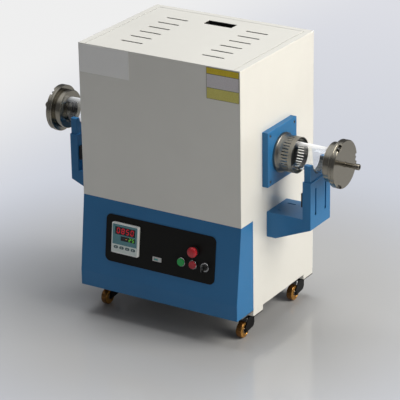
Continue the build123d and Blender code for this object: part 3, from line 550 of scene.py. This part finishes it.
# ---- bare plates on the white front ----------------------------------------------
def banded_plate():
    """Blank plate: dark edge and parting lines round yellow, grey and dull yellow bands."""
    x0, x1, z0, z1 = BANDED_PLATE
    edge, upper, lower = 0.0013, 0.0009, 0.0007      # dark rim and half of each parting line
    s = Shader("banded_plate")
    place = s.add("ShaderNodeTexCoord")
    split = s.add("ShaderNodeSeparateXYZ")
    s.link(place.outputs["Object"], split.inputs["Vector"])
    grain = s.noise(260, 3)
    yellow = s.ramp(grain, [(0.3, (0.66, 0.50, 0.012)), (0.7, (0.78, 0.60, 0.02))])
    grey = s.ramp(grain, [(0.3, (0.66, 0.63, 0.65)), (0.7, (0.74, 0.71, 0.73))])
    dull = s.ramp(grain, [(0.3, (0.66, 0.60, 0.14)), (0.7, (0.75, 0.69, 0.19))])
    dark = s.ramp(grain, [(0.3, (0.16, 0.13, 0.08)), (0.7, (0.20, 0.17, 0.11))])
    x, z = split.outputs["X"], split.outputs["Z"]

    def away(value, middle):
        return s.math("ABSOLUTE", s.math("SUBTRACT", value, middle))

    low_line, high_line = BAND_Z
    tone = s.mix(s.math("GREATER_THAN", z, low_line), dull, grey)
    tone = s.mix(s.math("GREATER_THAN", z, high_line), tone, yellow)
    line = s.math("LESS_THAN", away(z, high_line), upper)
    for part in (s.math("LESS_THAN", away(z, low_line), lower),
                 s.math("GREATER_THAN", away(x, (x0 + x1) / 2), (x1 - x0) / 2 - edge),
                 s.math("GREATER_THAN", away(z, (z0 + z1) / 2), (z1 - z0) / 2 - edge)):
        line = s.math("MAXIMUM", line, part)
    s.link(s.mix(line, tone, dark), s.bsdf.inputs["Base Color"])
    s.link(s.spread(s.noise(50, 3), 0.28, 0.38), s.bsdf.inputs["Roughness"])
    s.bump(s.noise(700, 2), 0.1, 0.00005)
    return s.mat


mats["banded_plate"] = banded_plate()


def front_plate(name, extent, r, material):
    """Thin plate with rounded corners and a bevelled rim, flat on the white front."""
    bm = bmesh.new()
    x0, x1, z0, z1 = extent
    face = Matrix(((1, 0, 0), (0, 0, 1), (0, -1, 0))).transposed().to_4x4()
    face.translation = Vector(((x0 + x1) / 2, FRONT_Y, (z0 + z1) / 2))
    w, h = x1 - x0, z1 - z0
    rings = [[bm.verts.new(face @ Vector((x, y, z))) for x, y in rounded(w - 2 * cut, h - 2 * cut, r)]
             for cut, z in ((0, -0.0001), (0, 0.0004), (0.0004, 0.0006))]
    skin(bm, rings)
    return piece(name, bm, material, "cabinet")


front_plate("bare_name_plate", NAME_PLATE, 0.0015, "plate_film")
front_plate("bare_banded_plate", BANDED_PLATE, 0.0010, "banded_plate")

# ---- marks on the controller keys --------------------------------------------------
KEY_MARKS = {1: [(-0.0024, 0), (0.0016, 0.0022), (0.0016, -0.0022)],
             2: [(0, -0.0022), (-0.0024, 0.0016), (0.0024, 0.0016)],
             3: [(0, 0.0022), (0.0024, -0.0016), (-0.0024, -0.0016)],
             4: circle(0.0021, 20)}
for k, outline in KEY_MARKS.items():
    bm = bmesh.new()
    key = f"controller_key_{k}"
    key_place = panel_matrix(middle(key).x, CTRL_U + KEY_U, KEY_FACE)
    prism(bm, outline, -MARK_SINK, MARK_OUT, key_place)
    piece(f"{key}_mark", bm, "mark_white", key)


# ---- data port insert and rear panel screws -------------------------------------------
bm = bmesh.new()
insert_place = panel_matrix(PORT_X, PORT_U, 0)
prism(bm, rounded(INSERT_W, INSERT_H, INSERT_R), -INSERT_SINK, INSERT_OUT, insert_place)
piece("data_port_insert", bm, "teal_insert", "cabinet")


def screw(bm, x, z, r=0.0042):
    """Low domed head with a fine cross on it, on the back."""
    face = Matrix(((-1, 0, 0), (0, 0, 1), (0, 1, 0))).transposed().to_4x4()
    face.translation = Vector((x, REAR_Y, z))
    dome = ((1.0, -0.0002), (1.0, 0.0007), (0.86, 0.0015), (0.55, 0.0020))
    skin(bm, [[bm.verts.new(face @ Vector((a, b, height))) for a, b in circle(r * size, 20)]
              for size, height in dome])
    arm, wide, base = r * 0.50, r * 0.13, 0.00205
    for turn in (0, 90):
        flip = face @ Matrix.Rotation(math.radians(turn + 20), 4, "Z")
        prism(bm, [(-arm, -wide), (arm, -wide), (arm, wide), (-arm, wide)], base - 0.0002, base, flip)


bm = bmesh.new()
for x in SCREW_XS:
    for z in SCREW_ZS:
        if x or z in (SCREW_ZS[0], SCREW_ZS[-1]):
            screw(bm, x, z)
piece("rear_panel_screws", bm, "rear_screw", "cabinet")


# ---- camera ------------------------------------------------------------------
LENS_MM = 193.46
YAW, PITCH, ROLL = math.radians(31.950), math.radians(22.292), math.radians(-0.939)
EYE = Vector((3.24875, -5.19658, 2.85803))
ahead = Vector((-math.sin(YAW) * math.cos(PITCH), math.cos(YAW) * math.cos(PITCH), -math.sin(PITCH)))
right = Vector((math.cos(YAW), math.sin(YAW), 0))
up = right.cross(ahead)
right_r = right * math.cos(ROLL) + up * math.sin(ROLL)
up_r = up * math.cos(ROLL) - right * math.sin(ROLL)
camera = bpy.data.objects.new("camera", bpy.data.cameras.new("camera"))
bpy.context.scene.collection.objects.link(camera)
pose = Matrix((right_r, up_r, -ahead)).transposed().to_4x4()
pose.translation = EYE
camera.matrix_world = pose
camera.data.sensor_width = 36
camera.data.sensor_fit = "HORIZONTAL"
camera.data.lens = LENS_MM
camera.data.clip_end = 100
bpy.context.scene.camera = camera


# ---- floor, world, lights ------------------------------------------------------
BACKDROP = (0.72, 0.73, 0.78)          # pale grey-blue where the floor ends
# Painted light: the backdrop's paler colour toward the left.
PAINTED_LIGHT_LEFT = (0.86, 0.86, 0.86)
PALE_NEAR = (0.61, 0.635, 0.70)
FLOOR_HALF = 30


def floor():
    """Pale floor, slightly glossy near the furnace and fading into a backdrop further out, painted
    lighter toward the left and even at the horizon.
    """
    bm = bmesh.new()
    bmesh.ops.create_grid(bm, x_segments=2, y_segments=2, size=FLOOR_HALF)
    mesh = bpy.data.meshes.new("floor")
    bm.to_mesh(mesh)
    bm.free()
    obj = bpy.data.objects.new("floor", mesh)
    bpy.context.scene.collection.objects.link(obj)
    s = Shader("floor_finish")
    s.link(s.ramp(s.noise(0.7, 3), [(0.3, (0.50, 0.505, 0.51)), (0.7, (0.535, 0.54, 0.545))]),
           s.bsdf.inputs["Base Color"])
    s.link(s.spread(s.noise(3, 3), 0.10, 0.14), s.bsdf.inputs["Roughness"])
    place = s.add("ShaderNodeTexCoord")
    flat = s.add("ShaderNodeVectorMath", operation="LENGTH")
    s.link(place.outputs["Object"], flat.inputs[0])
    far = s.add("ShaderNodeMapRange", From_Min=0.5, From_Max=1.25, interpolation_type="SMOOTHSTEP")
    s.link(flat.outputs["Value"], far.inputs["Value"])
    split = s.add("ShaderNodeSeparateXYZ")
    s.link(place.outputs["Object"], split.inputs["Vector"])
    left = s.add("ShaderNodeMapRange", From_Min=-0.9, From_Max=-1.9, interpolation_type="SMOOTHSTEP")
    s.link(split.outputs["X"], left.inputs["Value"])
    reach = s.add("ShaderNodeMapRange", From_Min=1.0, From_Max=3.2)
    s.link(flat.outputs["Value"], reach.inputs["Value"])
    pale = s.mix(reach.outputs["Result"], PALE_NEAR, BACKDROP)
    # Painted light: backdrop paler toward the left.
    pale = s.mix(left.outputs["Result"], pale, PAINTED_LIGHT_LEFT)
    horizon = s.add("ShaderNodeMapRange", From_Min=4.5, From_Max=9.0, interpolation_type="SMOOTHSTEP")
    s.link(flat.outputs["Value"], horizon.inputs["Value"])
    pale = s.mix(horizon.outputs["Result"], pale, BACKDROP)
    path = s.add("ShaderNodeLightPath")
    seen = s.math("MAXIMUM", s.math("MULTIPLY", path.outputs["Is Glossy Ray"], 0.15),
                  s.math("MAXIMUM", path.outputs["Is Camera Ray"], path.outputs["Is Transmission Ray"]))
    haze = s.add("ShaderNodeEmission", Strength=1.0)
    s.link(pale, haze.inputs["Color"])
    mix = s.add("ShaderNodeMixShader")
    s.link(s.math("MULTIPLY", seen, far.outputs["Result"]), mix.inputs["Fac"])
    s.link(s.bsdf.outputs["BSDF"], mix.inputs[1])
    s.link(haze.outputs["Emission"], mix.inputs[2])
    s.link(mix.outputs["Shader"], s.tree.nodes["Material Output"].inputs["Surface"])
    obj.data.materials.append(s.mat)


def world():
    """Dim studio, a bright ceiling for reflections and the floor's backdrop for the camera."""
    scene_world = bpy.data.worlds.new("studio")
    scene_world.use_nodes = True
    tree = scene_world.node_tree
    ground = tree.nodes["Background"]
    ground.inputs["Color"].default_value = (0.85, 0.86, 0.91, 1)
    ground.inputs["Strength"].default_value = 0.148
    ceiling = tree.nodes.new("ShaderNodeBackground")
    ceiling.inputs["Color"].default_value = (0.93, 0.94, 0.96, 1)
    ceiling.inputs["Strength"].default_value = 0.95
    place = tree.nodes.new("ShaderNodeTexCoord")
    split = tree.nodes.new("ShaderNodeSeparateXYZ")
    tree.links.new(place.outputs["Generated"], split.inputs["Vector"])
    high = tree.nodes.new("ShaderNodeMapRange")
    high.interpolation_type = "SMOOTHSTEP"
    high.inputs["From Min"].default_value = 0.50
    high.inputs["From Max"].default_value = 0.86
    tree.links.new(split.outputs["Z"], high.inputs["Value"])
    path = tree.nodes.new("ShaderNodeLightPath")
    fac = tree.nodes.new("ShaderNodeMath")
    fac.operation = "MULTIPLY"
    tree.links.new(high.outputs["Result"], fac.inputs[0])
    tree.links.new(path.outputs["Is Glossy Ray"], fac.inputs[1])
    mix = tree.nodes.new("ShaderNodeMixShader")
    tree.links.new(fac.outputs["Value"], mix.inputs["Fac"])
    tree.links.new(ground.outputs["Background"], mix.inputs[1])
    tree.links.new(ceiling.outputs["Background"], mix.inputs[2])
    backdrop = tree.nodes.new("ShaderNodeBackground")
    backdrop.inputs["Color"].default_value = (*BACKDROP, 1)
    seen = tree.nodes.new("ShaderNodeMixShader")
    tree.links.new(path.outputs["Is Camera Ray"], seen.inputs["Fac"])
    tree.links.new(mix.outputs["Shader"], seen.inputs[1])
    tree.links.new(backdrop.outputs["Background"], seen.inputs[2])
    tree.links.new(seen.outputs["Shader"], tree.nodes["World Output"].inputs["Surface"])
    bpy.context.scene.world = scene_world


def area(name, place, target, size, power, colour, in_gloss):
    """Square lamp of the given side and watts, aimed at target."""
    light = bpy.data.lights.new(name, "AREA")
    light.shape = "RECTANGLE"
    light.size, light.size_y = size, size
    light.energy = power
    light.color = colour
    obj = bpy.data.objects.new(name, light)
    bpy.context.scene.collection.objects.link(obj)
    place = Vector(place)
    obj.location = place
    obj.rotation_euler = (Vector(target) - place).to_track_quat("-Z", "Y").to_euler()
    obj.visible_glossy = in_gloss


floor()
world()
area("key", (3.4, 0.6, 3.2), (0, 0, 0.45), 2.2, 102, (1.0, 0.955, 0.88), True)
area("low_key", (4.4, 0.0, 1.1), (0.2, 0, 0.5), 3.6, 104, (1.0, 0.950, 0.872), False)
area("overhead", (-0.4, 0.6, 4.2), (0, 0, 0.6), 2.6, 108, (0.98, 0.99, 1.0), False)

bpy.context.scene.view_settings.view_transform = "Standard"
